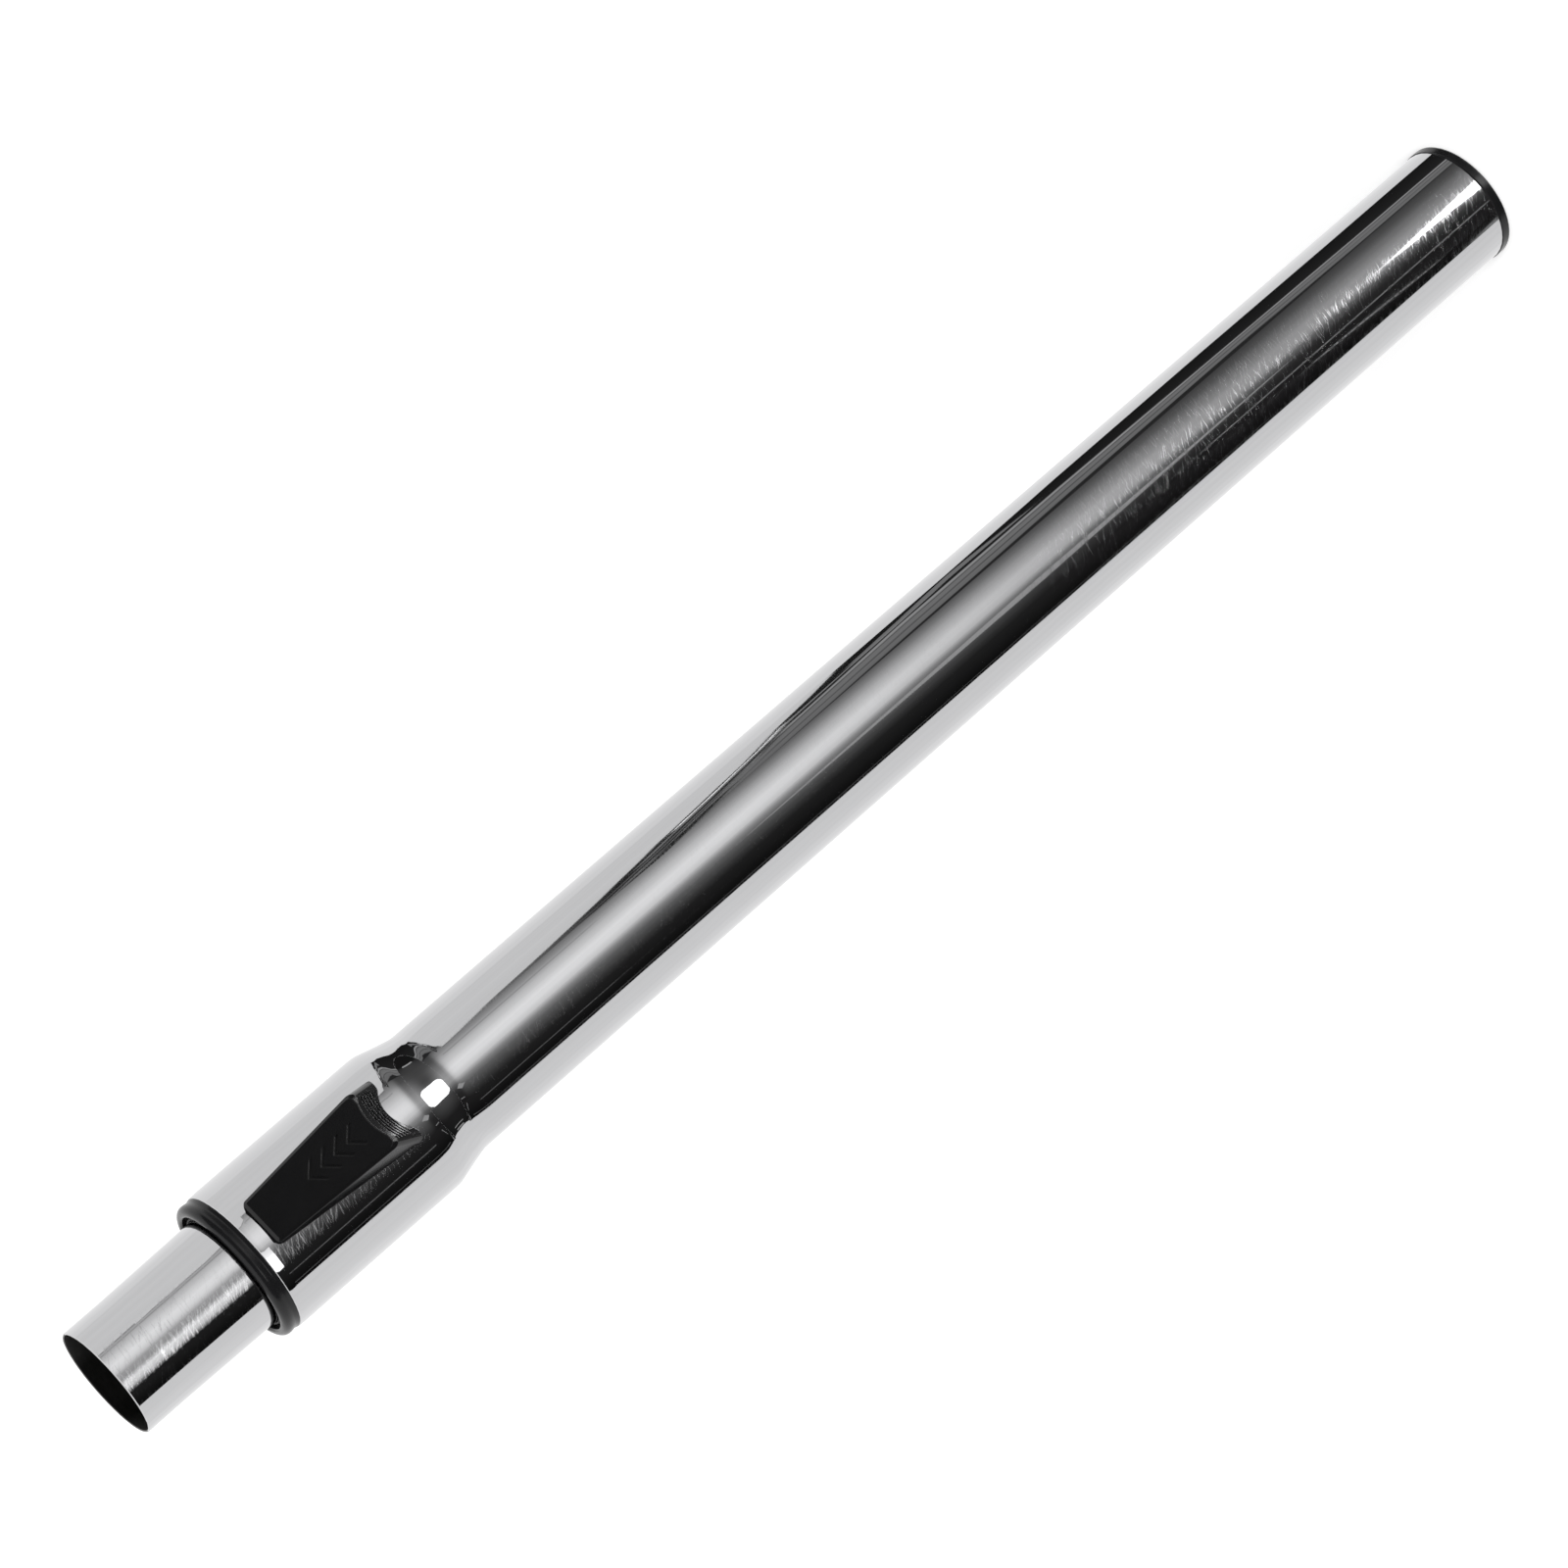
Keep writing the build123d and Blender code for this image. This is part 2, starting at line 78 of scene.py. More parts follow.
# Far panels that only the reflections show. Their heights are those on the tube's wall where the
# camera sees them mirrored, so they may lie below its foot or above its mouth.
TUBE_RADIUS = 0.018
NEAR_RADIUS = 1.0
LINE_RADIUS = 11.8
LAMP_RADIUS = 11.9
PANEL_RADIUS = 12.0
BACKING_RADIUS = 12.5
PANEL_COLUMNS = 24
FLOOR_FOOT = -12.0
FLOOR_EDGE = -0.95
STUDIO_FOOT = -0.70
PANEL_FOOT = -0.03
PANEL_TOP = 0.64
STUDIO_TOP = 2.0
EVEN = ((0, 1.0), (1, 1.0))

# Edges of the larger panels, as azimuths from the camera's
BACKING_EDGE = 130
LEFT_EDGE = -75
BOUNCE_LEFT = -40
BOUNCE_RIGHT = 60
RIGHT_FLAG_LEFT = 58
LOW_LEFT = -73
LOW_RIGHT = 114.5
SIDE_CARD_RIGHT = 112

# Chrome: draw lines along the tubes, and hair strokes of two slants in patches. Scales are features
# a metre on each axis, and ranges are where a value begins and ends to count.
NOISE_RANGE = (0.3, 0.7)
DRAW_SCALE = (600.0, 600.0, 1.5)
DRAW_DEPTH = 0.00001
HAIR_SCALE = (220.0, 220.0, 3000.0)
HAIR_SLANT = -35.0
CROSSING_SLANT = -8.0
HAIR_RANGE = (0.52, 0.66)
HAIR_ROUGH = 0.17
HAIR_ANISOTROPY = 0.95
HAIR_ROTATION = 0.25
PATCH_SCALE = (38.0, 38.0, 22.0)
PATCH_RANGE = (0.30, 0.55)
PATCH_LEAST = 0.35
CHROME_ROUGH = 0.03
CHROME_TONES = ((0.605, 0.605, 0.615), (0.640, 0.640, 0.650))
BORE_ROUGH = 0.42
# Bore colour: dull bare steel, painted darker than the bare metal so that it also stands for the shade
# inside the tube
BORE_TONES_AND_SHADE = ((0.10, 0.10, 0.10), (0.16, 0.155, 0.15))

# Where the strokes are strongest: round one azimuth, on walls that don't tilt, and near the foot of
# the outer tube or anywhere on the inner tube, the only wall within the inner radius
WORN_AZIMUTH = -17.5
WORN_RANGE = (0.77, 0.92)
WORN_LEAST = 0.12
TILT_RANGE = (0.03, 0.08)
HANDLED_RANGE = (0.14, 0.24)
HANDLED_LEAST = 0.6
INNER_RADIUS = 0.017

# Soft sweep of the normals on the drawn shoulder of the outer tube
SHOULDER_HEIGHT = 0.3952
SHOULDER_REACH = 0.0105
SHOULDER_SLOPE = 0.257
SHOULDER_LEAST_RADIUS = 0.0175

# Moulded plastics and rubber by slot, with edges that catch the light
MOULDED_EDGE = 0.0003
EDGE_SAMPLES = 16
MOTTLE_SCALE = (90.0, 90.0, 90.0)
GRAIN_STRENGTH = 0.5
MOULDED = {
    "black_plastic": {
        "tones": ((0.008, 0.008, 0.0085), (0.012, 0.012, 0.013)), "rough": (0.18, 0.24),
        "grain": 2500.0, "grain_depth": 0.000002, "specular": 0.28},
    "button_plastic": {
        "tones": ((0.0062, 0.0062, 0.0065), (0.0082, 0.0082, 0.0086)), "rough": (0.14, 0.17),
        "grain": 400.0, "grain_depth": 0.0000004, "specular": 0.35},
    "guide_plastic": {
        "tones": ((0.50, 0.50, 0.48), (0.60, 0.60, 0.58)), "rough": (0.38, 0.50),
        "grain": 3000.0, "grain_depth": 0.00001, "specular": 0.5},
    "seal_rubber": {
        "tones": ((0.013, 0.013, 0.013), (0.024, 0.024, 0.024)), "rough": (0.55, 0.72),
        "grain": 3600.0, "grain_depth": 0.00002, "specular": 0.5},
}

# Bright steel
STEEL_SCALE = (900.0, 9000.0, 9000.0)
STEEL_TONES = ((0.52, 0.52, 0.53), (0.66, 0.66, 0.67))
STEEL_ROUGH = (0.22, 0.38)

# Return spring
SPRING_WIRE = 0.0004
SPRING_TURNS = 4
SPRING_STEPS = 24
WIRE_SIDES = 10

# The tubes' axis, and the factors that leave a vector's level part
UP = (0.0, 0.0, 1.0)
LEVEL = (1.0, 1.0, 0.0)

# Sockets of the mix node for each kind of data: the two inputs and the output
MIX_SOCKETS = {"FLOAT": (2, 3, 0), "VECTOR": (4, 5, 1), "RGBA": (6, 7, 2)}


def around(azimuth, radius, height):
    """Point at an azimuth, a distance from the tube's axis and a height."""
    angle = radians(azimuth)
    return Vector((radius * sin(angle), -radius * cos(angle), height))


def new_object(name, data):
    """Object in the scene."""
    made = bpy.data.objects.new(name, data)
    bpy.context.scene.collection.objects.link(made)
    return made


def mesh_object(name, shape, material):
    """Object in the scene made from a bmesh, which is freed, and one material."""
    mesh = bpy.data.meshes.new(name)
    shape.to_mesh(mesh)
    shape.free()
    mesh.materials.append(material)
    return new_object(name, mesh)


def add(tree, kind, inputs=None, **settings):
    """New shader node. An input is a value, or a socket to link from."""
    made = tree.nodes.new("ShaderNode" + kind)
    for name, value in settings.items():
        setattr(made, name, value)
    for name, value in (inputs or {}).items():
        if isinstance(value, bpy.types.NodeSocket):
            tree.links.new(value, made.inputs[name])
        else:
            made.inputs[name].default_value = value
    return made


def math(tree, operation, first, second=0.0, clamp=False):
    """Result of a math node on two values or sockets."""
    return add(tree, "Math", {0: first, 1: second}, operation=operation, use_clamp=clamp).outputs[0]


def vector(tree, operation, first, second=(0.0, 0.0, 0.0)):
    """Vector that a vector math node gives for two vectors or sockets."""
    return add(tree, "VectorMath", {0: first, 1: second}, operation=operation).outputs["Vector"]


def measure(tree, operation, first, second=(0.0, 0.0, 0.0)):
    """Number that a vector math node gives for two vectors or sockets."""
    return add(tree, "VectorMath", {0: first, 1: second}, operation=operation).outputs["Value"]


def mix(tree, kind, factor, first, second):
    """Number, vector or colour between two others."""
    low, high, result = MIX_SOCKETS[kind]
    return add(tree, "Mix", {0: factor, low: first, high: second}, data_type=kind).outputs[result]


def tone_mix(tree, factor, tones):
    """Colour between a dark and a light tone."""
    dark, light = tones
    return mix(tree, "RGBA", factor, (*dark, 1.0), (*light, 1.0))


def remap(tree, value, span, to_low=0.0, to_high=1.0, shape="LINEAR"):
    """Value moved from a span to another range, clamped at its ends."""
    low, high = span
    ends = {"Value": value, "From Min": low, "From Max": high, "To Min": to_low, "To Max": to_high}
    return add(tree, "MapRange", ends, interpolation_type=shape).outputs[0]


def noise(tree, scale, detail=2.0, seed=0.0, turn=0.0):
    """Noise over the object's own coordinates, turned about Y and then scaled."""
    place = add(tree, "TexCoord").outputs["Object"]
    turned = add(tree, "VectorRotate", {"Vector": place, "Angle": radians(turn)},
                 rotation_type="Y_AXIS").outputs[0]
    scaled = vector(tree, "MULTIPLY", turned, scale)
    return add(tree, "TexNoise", {"Vector": scaled, "W": seed, "Scale": 1.0, "Detail": detail},
               noise_dimensions="4D").outputs[0]


def new_material(name):
    """Material with an empty tree and its output node."""
    material = bpy.data.materials.new(name)
    material.use_nodes = True
    material.node_tree.nodes.clear()
    return material, material.node_tree, add(material.node_tree, "OutputMaterial")


def principled(name, inputs, **finish):
    """Material with one principled shader; inputs gives its sockets for the tree and the finish."""
    material, tree, output = new_material(name)
    shader = add(tree, "BsdfPrincipled", inputs(tree, **finish))
    tree.links.new(shader.outputs[0], output.inputs["Surface"])
    return material


def drawn_normal(tree, radial, radius, height, outside):
    """Normal of the tubes' walls, with the outer tube's shoulder swept in one soft curve."""
    away = math(tree, "ABSOLUTE", math(tree, "SUBTRACT", height, SHOULDER_HEIGHT))
    slope = remap(tree, away, (0.0, SHOULDER_REACH), -SHOULDER_SLOPE, 0.0, shape="SMOOTHSTEP")
    tilt = add(tree, "CombineXYZ", {"Z": slope}).outputs[0]
    sweep = vector(tree, "ADD", vector(tree, "NORMALIZE", radial), tilt)
    near = math(tree, "MULTIPLY", math(tree, "LESS_THAN", away, SHOULDER_REACH), outside)
    outer = math(tree, "GREATER_THAN", radius, SHOULDER_LEAST_RADIUS)
    shoulder = math(tree, "MULTIPLY", near, outer)
    plain = add(tree, "NewGeometry").outputs["Normal"]
    return mix(tree, "VECTOR", shoulder, plain, vector(tree, "NORMALIZE", sweep))


def hair_strokes(tree, wall, normal, radius, height, patches):
    """Share of fine strokes on the chrome, from 0 to 1."""
    slanted = noise(tree, HAIR_SCALE, detail=1.0, turn=HAIR_SLANT)
    crossing = noise(tree, HAIR_SCALE, detail=1.0, seed=2.0, turn=CROSSING_SLANT)
    hairs = remap(tree, math(tree, "MAXIMUM", slanted, crossing), HAIR_RANGE)
    patchy = remap(tree, patches, PATCH_RANGE, PATCH_LEAST, 1.0)
    turned = measure(tree, "DOT_PRODUCT", wall, around(WORN_AZIMUTH, 1.0, 0.0))
    worn = remap(tree, turned, WORN_RANGE, WORN_LEAST, 1.0)
    tilt = math(tree, "ABSOLUTE", measure(tree, "DOT_PRODUCT", normal, UP))
    straight = remap(tree, tilt, TILT_RANGE, 1.0, 0.0)
    low = remap(tree, height, HANDLED_RANGE, 1.0, HANDLED_LEAST)
    handled = math(tree, "MAXIMUM", low, math(tree, "LESS_THAN", radius, INNER_RADIUS))
    for share in (patchy, worn, straight, handled):
        hairs = math(tree, "MULTIPLY", hairs, share)
    return hairs


def chrome_inputs(tree):
    """Polished chrome outside with hair strokes on the straight walls, and dull bare steel inside, painted
    darker to stand for the shade in the bore.
    """
    place = add(tree, "TexCoord").outputs
    radial = vector(tree, "MULTIPLY", place["Object"], LEVEL)
    radius = measure(tree, "LENGTH", radial)
    height = add(tree, "SeparateXYZ", {0: place["Object"]}).outputs["Z"]
    facing = measure(tree, "DOT_PRODUCT", radial, place["Normal"])
    inside = math(tree, "LESS_THAN", facing, 0.0)
    outside = math(tree, "GREATER_THAN", facing, 0.0)
    normal = drawn_normal(tree, radial, radius, height, outside)
    patches = noise(tree, PATCH_SCALE, detail=3.0, seed=7.0)
    hairs = hair_strokes(tree, place["Normal"], normal, radius, height, patches)
    draw_lines = noise(tree, DRAW_SCALE, seed=3.0)
    drawn = add(tree, "Bump", {
        "Strength": 1.0, "Distance": DRAW_DEPTH, "Height": draw_lines, "Normal": normal})
    chrome = tone_mix(tree, remap(tree, draw_lines, NOISE_RANGE), CHROME_TONES)
    # The bore's colour is bare steel with painted shade, darker than the metal alone
    steel = tone_mix(tree, patches, BORE_TONES_AND_SHADE)
    rough = remap(tree, hairs, (0.0, 1.0), CHROME_ROUGH, HAIR_ROUGH)
    return {
        "Base Color": mix(tree, "RGBA", inside, chrome, steel),
        "Metallic": 1.0,
        "Roughness": math(tree, "MAXIMUM", rough, math(tree, "MULTIPLY", inside, BORE_ROUGH)),
        "Anisotropic": math(tree, "MULTIPLY", hairs, HAIR_ANISOTROPY),
        "Anisotropic Rotation": HAIR_ROTATION,
        "Normal": drawn.outputs[0],
    }


def moulded_inputs(tree, tones, rough, grain, grain_depth, specular):
    """Moulded plastic or rubber: mottled colour, fine grain and softly rounded edges."""
    mottle = noise(tree, MOTTLE_SCALE, detail=4.0)
    texture = noise(tree, (grain, grain, grain), seed=5.0)
    rounded = add(tree, "Bevel", {"Radius": MOULDED_EDGE}, samples=EDGE_SAMPLES).outputs[0]
    bump = add(tree, "Bump", {
        "Strength": GRAIN_STRENGTH, "Distance": grain_depth, "Height": texture, "Normal": rounded})
    return {
        "Base Color": tone_mix(tree, mottle, tones),
        "Roughness": remap(tree, texture, NOISE_RANGE, *rough),
        "Specular IOR Level": specular,
        "Normal": bump.outputs[0],
    }


def steel_inputs(tree):
    """Bright drawn steel with fine lines."""
    lines = noise(tree, STEEL_SCALE)
    return {
        "Base Color": tone_mix(tree, lines, STEEL_TONES),
        "Metallic": 1.0,
        "Roughness": remap(tree, lines, NOISE_RANGE, *STEEL_ROUGH),
    }


def dress_nodes():
    """Gives each CAD node its finish and returns the finishes by slot."""
    finishes = {
        "chromed_steel": principled("chromed_steel", chrome_inputs),
        "plain_steel": principled("plain_steel", steel_inputs),
    }
    for slot, finish in MOULDED.items():
        finishes[slot] = principled(slot, moulded_inputs, **finish)
    for row in frame["record"]["subparts"]:
        mesh = frame["nodes"][row["node"]].data
        mesh.materials.clear()
        mesh.materials.append(finishes[row["material_slot"]])
    return finishes


def build_spring(finish):
    """Round wire spring that stands in for the CAD spring, attached to the outer body."""
    low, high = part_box("return_spring")
    axis = Vector(((low.x + high.x) / 2, (low.y + high.y) / 2, 0))
    coil_radius = (high.x - low.x - SPRING_WIRE) / 2
    start = low.z + SPRING_WIRE / 2
    rise = high.z - low.z - SPRING_WIRE
    shape = bmesh.new()
    rings = []
    for step in range(SPRING_TURNS * SPRING_STEPS + 1):
        share = step / (SPRING_TURNS * SPRING_STEPS)
        turn = share * SPRING_TURNS * 2 * pi
        outwards = Vector((cos(turn), sin(turn), 0))
        centre = axis + outwards * coil_radius + Vector((0, 0, start + share * rise))
        ring = []
        for side in range(WIRE_SIDES):
            angle = side / WIRE_SIDES * 2 * pi
            offset = outwards * cos(angle) + Vector((0, 0, sin(angle)))
            ring.append(shape.verts.new(centre + offset * SPRING_WIRE / 2))
        rings.append(ring)
    for below, above in zip(rings, rings[1:]):
        for side in range(WIRE_SIDES):
            after = (side + 1) % WIRE_SIDES
            shape.faces.new((below[side], below[after], above[after], above[side]))
    shape.faces.new(rings[0])
    shape.faces.new(rings[-1][::-1])
    bmesh.ops.recalc_face_normals(shape, faces=shape.faces)
    spring = mesh_object("return_spring_coil", shape, finish)
    spring.data.shade_smooth()
    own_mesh(spring)
    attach(spring, "outer")
    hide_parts("return_spring")


def build_camera():
    """Camera at the photograph's viewing angle, rolled so that the tube lies across the frame."""
    data = bpy.data.cameras.new("camera")
    data.lens = CAMERA_LENS
    data.sensor_width = SENSOR_WIDTH
    camera = new_object("camera", data)
    place = around(CAMERA_AZIMUTH, CAMERA_DISTANCE, CAMERA_HEIGHT)
    back = (place - Vector(CAMERA_AIM)).normalized()
    level = Vector(UP).cross(back).normalized()
    upright = Matrix((level, back.cross(level), back)).transposed()
    rolled = upright @ Matrix.Rotation(radians(CAMERA_ROLL), 3, "Z")
    camera.matrix_world = Matrix.Translation(place) @ rolled.to_4x4()
    bpy.context.scene.camera = camera


def build_sky():
    """White where it is seen or reflected, and a plain level where it lights the part."""
    world = bpy.data.worlds.new("sky")
    bpy.context.scene.world = world
    world.use_nodes = True
    tree = world.node_tree
    tree.nodes.clear()
    rays = add(tree, "LightPath").outputs
    seen = math(tree, "ADD", rays["Is Camera Ray"], rays["Is Glossy Ray"])
    seen = math(tree, "ADD", seen, rays["Is Transmission Ray"], clamp=True)
    plain = add(tree, "Background", {"Color": WHITE, "Strength": SKY_LEVEL})
    white = add(tree, "Background", {"Color": WHITE, "Strength": 1.0})
    either = add(tree, "MixShader", {0: seen, 1: plain.outputs[0], 2: white.outputs[0]})
    add(tree, "OutputWorld", {"Surface": either.outputs[0]})


def build_sun():
    """Broad sun above the camera, which the chrome doesn't mirror."""
    data = bpy.data.lights.new("soft_key", "SUN")
    data.energy = SUN_STRENGTH
    data.angle = radians(SUN_ANGLE)
    sun = new_object("soft_key", data)
    elevation = radians(SUN_ELEVATION)
    towards = around(CAMERA_AZIMUTH, cos(elevation), sin(elevation))
    sun.rotation_euler = towards.to_track_quat("Z", "Y").to_euler()
    sun.visible_glossy = False


def build_floor():
    """Pale floor that keeps the shadow and turns white where the camera sees it unshaded."""
    material, tree, output = new_material("floor")
    pale = add(tree, "BsdfDiffuse", {"Color": FLOOR_COLOUR})
    camera_ray = add(tree, "LightPath").outputs["Is Camera Ray"]
    lift = add(tree, "Emission", {"Strength": math(tree, "MULTIPLY", camera_ray, FLOOR_LIFT)})
    both = add(tree, "AddShader", {0: pale.outputs[0], 1: lift.outputs[0]})
    tree.links.new(both.outputs[0], output.inputs["Surface"])
    shape = bmesh.new()
    bmesh.ops.create_circle(shape, cap_ends=True, radius=FLOOR_RADIUS, segments=FLOOR_SIDES)
    floor = mesh_object("floor", shape, material)
    floor.visible_glossy = False


def ramp(tree, place, stops):
    """Grey ramp along a value from 0 to 1; the stops are (position, level), in any unit."""
    made = add(tree, "ValToRGB", {"Fac": place})
    elements = made.color_ramp.elements
    while len(elements) < len(stops):
        elements.new(1.0)
    first, last = stops[0][0], stops[-1][0]
    for element, (position, level) in zip(elements, stops):
        element.position = (position - first) / (last - first)
        element.color = (level, level, level, 1.0)
    return made.outputs[0]


def mirrored(azimuth, height, radius):
    """Far point at an azimuth from the camera's, which the tube's wall mirrors at a height on it."""
    slope = (CAMERA_HEIGHT - height) / (CAMERA_DISTANCE - TUBE_RADIUS)
    return around(CAMERA_AZIMUTH + azimuth, radius, height - slope * radius)


def reflection_panel(name, rows, across, upwards=EVEN, foot=None, radius=PANEL_RADIUS, strength=1.0):
    """Far panel that only reflections show.

    rows are (height, left azimuth, right azimuth) from the bottom up. across is the grey levels from
    left to right, and upwards the share of them from bottom to top; the rest of it is the foot's levels
    or, without them, black."""
    shape = bmesh.new()
    shares = shape.loops.layers.uv.new("shares")
    bottom, top = rows[0][0], rows[-1][0]
    grid = []
    for height, left, right in rows:
        line = []
        for column in range(PANEL_COLUMNS + 1):
            share = column / PANEL_COLUMNS
            vertex = shape.verts.new(mirrored(left + (right - left) * share, height, radius))
            line.append((vertex, (share, (height - bottom) / (top - bottom))))
        grid.append(line)
    for low, high in zip(grid, grid[1:]):
        for column in range(PANEL_COLUMNS):
            corners = (low[column], low[column + 1], high[column + 1], high[column])
            face = shape.faces.new([vertex for vertex, share in corners])
            for loop, (vertex, share) in zip(face.loops, corners):
                loop[shares].uv = share
    material, tree, output = new_material(name)
    place = add(tree, "SeparateXYZ", {0: add(tree, "TexCoord").outputs["UV"]}).outputs
    below = ramp(tree, place["X"], foot) if foot else 0.0
    level = mix(tree, "FLOAT", ramp(tree, place["Y"], upwards), below, ramp(tree, place["X"], across))
    glow = add(tree, "Emission", {"Strength": math(tree, "MULTIPLY", level, strength)})
    tree.links.new(glow.outputs[0], output.inputs["Surface"])
    panel = mesh_object(name, shape, material)
    for ray in ("camera", "diffuse", "shadow", "transmission", "volume_scatter"):
        setattr(panel, "visible_" + ray, False)


def lamp(name, rows, strength, upwards=EVEN, radius=LAMP_RADIUS):
    """Panel in front of the cards and flags, evenly lit from side to side."""
    reflection_panel(name, rows, EVEN, upwards, radius=radius, strength=strength)


def build_cards():
    """Light cards and black flags round the tube, as the chrome shows them."""
    low_glow = [(-16, 0.06), (-8, 0.18), (0, 0.42), (8, 0.48), (16, 0.43), (24, 0.33), (32, 0.25),
                (40, 0.18), (48, 0.11), (BOUNCE_RIGHT, 0.07)]
    reflection_panel(
        "backing",
        [(STUDIO_FOOT, -BACKING_EDGE, BACKING_EDGE), (PANEL_TOP, -BACKING_EDGE, BACKING_EDGE)],
        across=[(-BACKING_EDGE, 0.95), (LEFT_EDGE, 0.88), (75, 0.84), (BACKING_EDGE, 0.98)],
        radius=BACKING_RADIUS)
    reflection_panel(
        "left_flag",
        [(PANEL_FOOT, LEFT_EDGE, BOUNCE_LEFT), (PANEL_TOP, LEFT_EDGE, BOUNCE_LEFT)],
        across=[(LEFT_EDGE, 0.004), (BOUNCE_LEFT, 0.020)])
    reflection_panel(
        "bounce_card",
        [(PANEL_FOOT, BOUNCE_LEFT, BOUNCE_RIGHT), (PANEL_TOP, BOUNCE_LEFT, BOUNCE_RIGHT)],
        across=[(BOUNCE_LEFT, 0.02), (-32, 0.05), (-24, 0.10), (-16, 0.17), (-8, 0.37), (0, 0.84),
                (8, 1.08), (16, 1.13), (24, 0.97), (32, 0.79), (40, 0.60), (48, 0.37),
                (BOUNCE_RIGHT, 0.16)],
        upwards=[(PANEL_FOOT, 0.0), (0.09, 0.0), (0.12, 0.05), (0.16, 0.22), (0.20, 0.58),
                 (0.24, 0.8), (0.29, 0.95), (0.37, 1.0), (0.58, 1.0), (PANEL_TOP, 0.6)],
        foot=[(BOUNCE_LEFT, 0.015), (-24, 0.03), *low_glow])
    reflection_panel(
        "right_flag",
        [(PANEL_FOOT, RIGHT_FLAG_LEFT, 111), (0.05, RIGHT_FLAG_LEFT, 112), (0.10, RIGHT_FLAG_LEFT, 115),
         (0.16, RIGHT_FLAG_LEFT, 115), (0.20, RIGHT_FLAG_LEFT, 111), (0.375, RIGHT_FLAG_LEFT, 111)],
        across=[(0, 0.03), (1, 0.012)])
    reflection_panel(
        "low_flag",
        [(STUDIO_FOOT, LOW_LEFT, LOW_RIGHT), (PANEL_FOOT, LOW_LEFT, LOW_RIGHT)],
        across=[(LOW_LEFT, 0.01), (BOUNCE_LEFT, 0.015), *low_glow, (75, 0.012), (LOW_RIGHT, 0.012)],
        upwards=[(STUDIO_FOOT, 0.0), (-0.30, 0.0), (PANEL_FOOT, 1.0)],
        foot=[(LOW_LEFT, 0.02), (-45, 0.02), (-15, 0.10), (0, 0.25), (21, 0.14), (30, 0.09),
              (60, 0.07), (70, 0.09), (75, 0.012), (LOW_RIGHT, 0.012)])
    reflection_panel(
        "top_flag", [(PANEL_TOP, LEFT_EDGE, 100), (STUDIO_TOP, LEFT_EDGE, 100)], EVEN, strength=0.02)
    reflection_panel(
        "floor_flag", [(FLOOR_FOOT, -180, 180), (FLOOR_EDGE, -180, 180)], EVEN, strength=0.22)
    reflection_panel(
        "side_leaf",
        [(PANEL_FOOT, 60, 76), (0.043, 62, 79), (0.092, 67, 84), (0.16, 66, 91), (0.219, 63, 92),
         (0.267, 60, 84), (0.31, 56, 60), (0.336, 54, 55)],
        across=[(0, 0.05), (0.06, 0.20), (0.3, 0.22), (0.36, 0.10), (0.45, 0.24), (0.7, 0.22),
                (0.76, 0.06), (0.82, 0.30), (0.93, 0.45), (1, 0.10)],
        radius=LAMP_RADIUS)
    side_card_left = [(0.243, 108), (0.265, 96), (0.280, 85), (0.310, 75.5), (0.340, 64), (0.370, 58.5),
                      (0.384, 53), (0.463, 50.5), (0.494, 46.5), (PANEL_TOP, 36)]
    reflection_panel(
        "side_card", [(height, left, SIDE_CARD_RIGHT) for height, left in side_card_left],
        across=[(0, 0.84), (1, 0.86)], radius=LAMP_RADIUS)


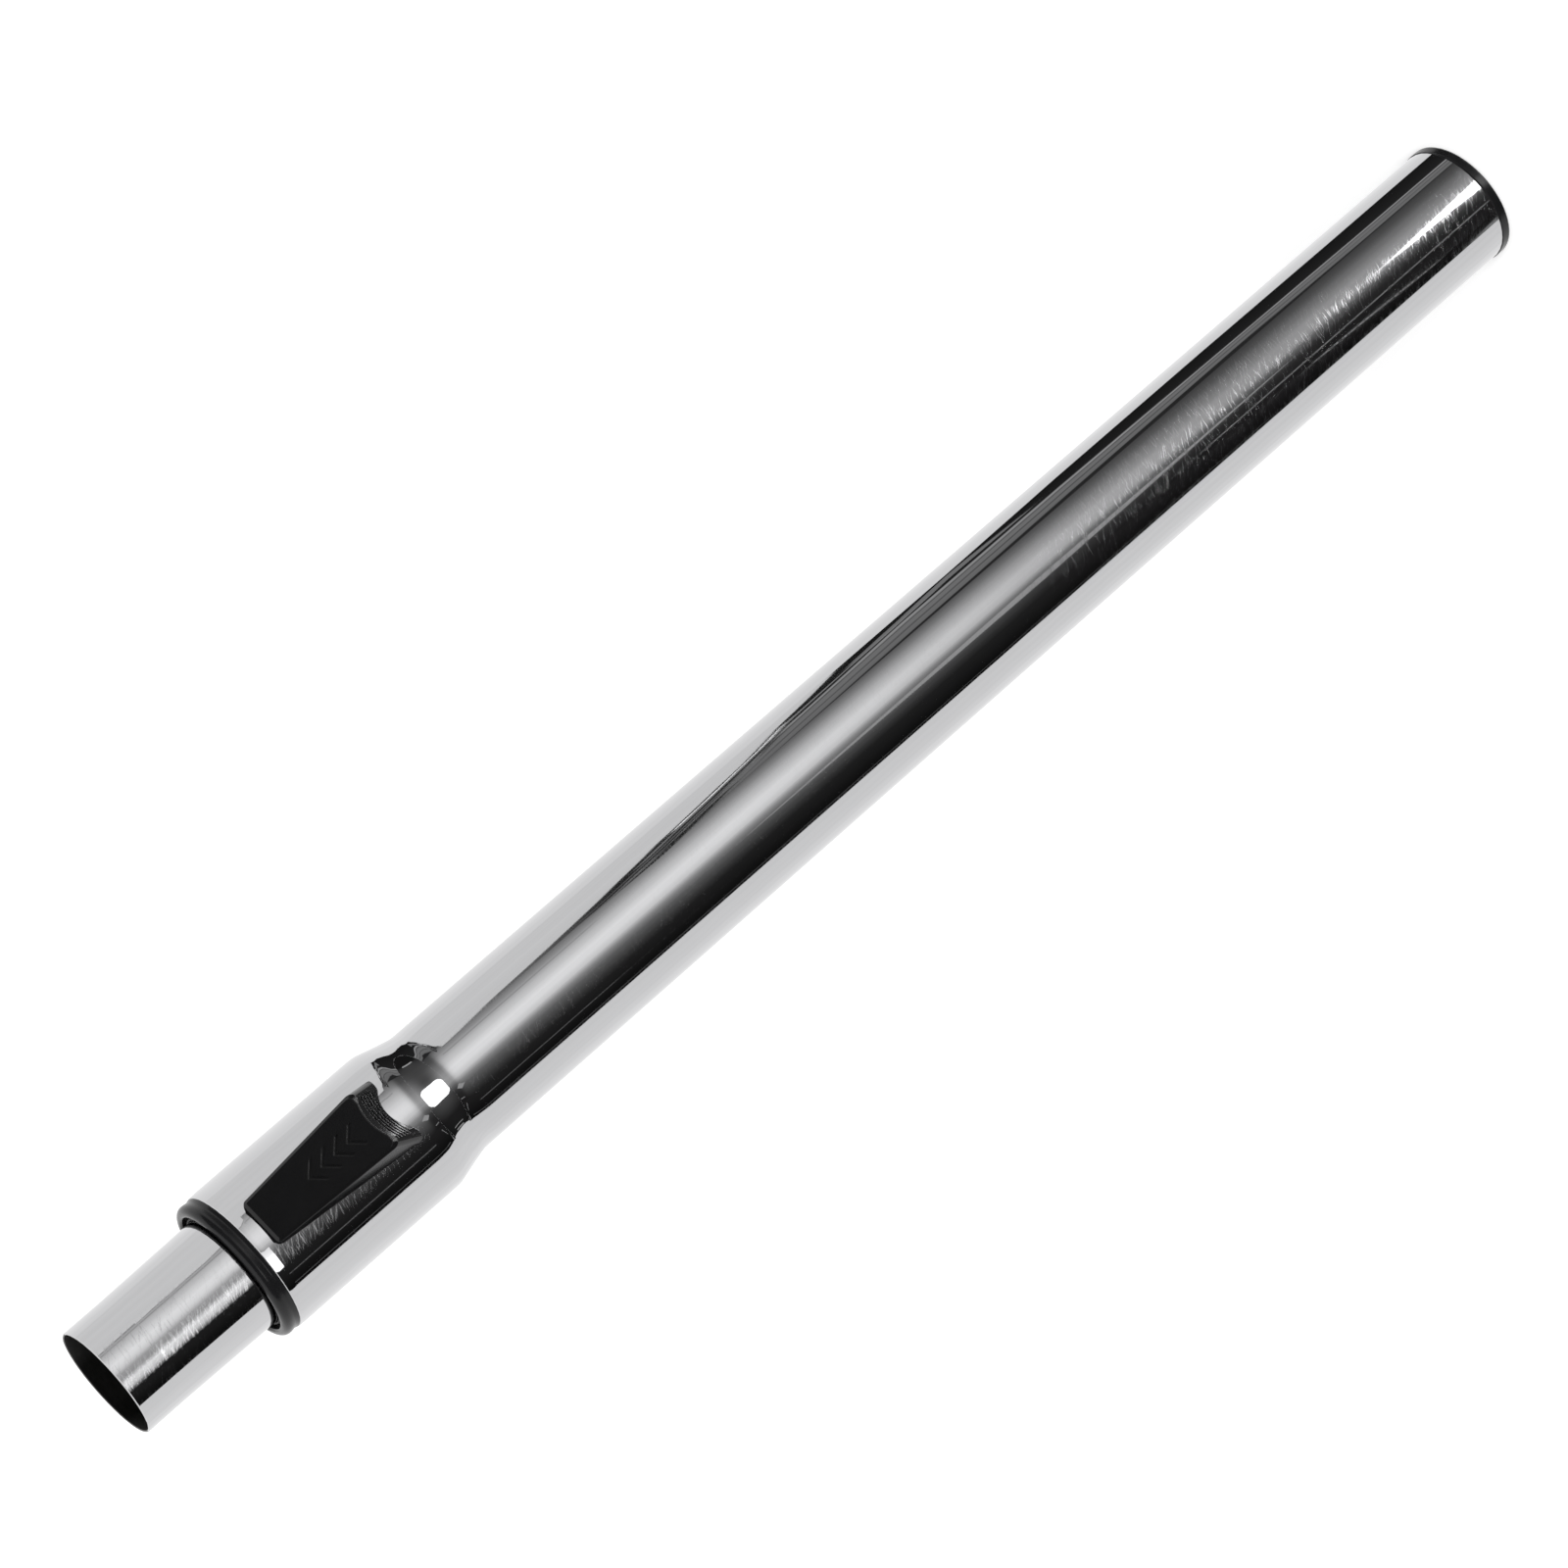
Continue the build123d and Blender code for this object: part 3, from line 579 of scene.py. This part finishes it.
def build_lamps():
    """Softboxes, and the thin strips that slip past the flags."""
    lamp("shoulder_softbox", [(STUDIO_FOOT, -14, 20), (-0.265, -14, 20), (-0.184, -12.9, 18.9),
                              (-0.112, -9.8, 15.8), (-0.090, -7.7, 13.7), (-0.080, -5.5, 11.5)], 2.4)
    lamp("foot_softbox", [(-0.06, -12, 14), (0.005, -8.0, 10.0), (0.016, -4.8, 8.0), (0.025, -2.8, 6.4),
                          (0.040, -0.8, 4.2), (0.052, 1.6, 2.4)], 6.0,
         upwards=[(-0.06, 1.0), (0.0, 1.0), (0.02, 0.9), (0.035, 0.4), (0.052, 0.15)],
         radius=NEAR_RADIUS)
    lamp("floor_softbox", [(FLOOR_EDGE, -60, 75), (STUDIO_FOOT, -60, 75)], 12.0)
    reflection_panel(
        "upper_softbox", [(0.456, -41, -6), (PANEL_TOP, -41, -6)],
        across=[(-41, 0.0), (-39, 3.0), (-19, 3.0), (-16, 1.5), (-6, 1.1)],
        upwards=[(0.456, 0.0), (0.520, 0.0), (0.530, 1.0), (PANEL_TOP, 1.0)],
        foot=[(-41, 0.08), (-38, 0.25), (-33, 0.80), (-24, 1.10), (-19, 0.70), (-14, 0.42), (-6, 0.50)],
        radius=LAMP_RADIUS)
    lamp("side_border", [(0.243, 99, 108), (0.265, 84, 96), (0.280, 68, 85), (0.310, 52, 75.5),
                         (0.325, 54, 69.5), (0.340, 57, 64), (0.370, 55.5, 58.5), (0.384, 51.5, 53),
                         (0.463, 49.2, 50.5), (0.494, 45.3, 46.5), (PANEL_TOP, 35, 36)], 1.0,
         upwards=[(0.243, 0.02), (0.326, 0.02), (0.366, 0.2), (PANEL_TOP, 0.4)])
    lamp("border_line", [(0.262, 84, 86), (0.285, 70, 72.5), (0.31, 62.5, 65), (0.338, 58, 59)], 0.16,
         radius=LINE_RADIUS)
    lamp("border_leaf", [(0.205, 96, 98), (0.262, 88.5, 91.5), (0.29, 74, 77), (0.318, 65, 67)], 0.30,
         radius=LINE_RADIUS)
    lamp("border_streak", [(0.262, 92.5, 94), (0.283, 79, 81), (0.303, 73, 74.5)], 1.6, radius=LINE_RADIUS)
    lamp("lens_strip", [(0.085, -15.8, -15.2), (0.18, -20, -11), (0.289, -15.8, -15.2)], 0.42)
    lamp("long_strip", [(0.10, -70.5, -69.5), (0.485, -70.5, -69.5)], 0.14)
    lamp("short_strip", [(0.003, -34.8, -33.2), (0.12, -34.8, -33.2)], 0.26)
    lamp("slanted_strip", [(0.030, -59, -56.5), (0.078, -46.5, -44)], 0.40)
    lamp("collar_strip", [(-0.005, -74, -58), (0.016, -74, -72)], 0.30)
    lamp("bell_strip", [(0.341, -54.8, -53.2), (0.453, -54.8, -53.2)], 0.16)
    lamp("bell_line", [(0.336, 41, 43), (0.541, 38, 40.5)], 0.42)
    lamp("shoulder_line", [(-0.24, -71, -69.5), (-0.14, -71, -69.5)], 0.5)
    lamp("shoulder_rim", [(-0.25, -65, -63.5), (-0.15, -65, -63.5)], 0.4)
    lamp("shoulder_edge", [(-0.20, 72, 74.5), (-0.12, 72, 74.5)], 0.5)
    lamp("dark_patch", [(0.17, 95, 97), (0.20, 98, 108), (0.238, 93, 98)], 0.24)


finishes = dress_nodes()
build_spring(finishes["plain_steel"])
build_camera()
build_sky()
build_sun()
build_floor()
build_cards()
build_lamps()

bpy.context.scene.view_settings.view_transform = "Standard"
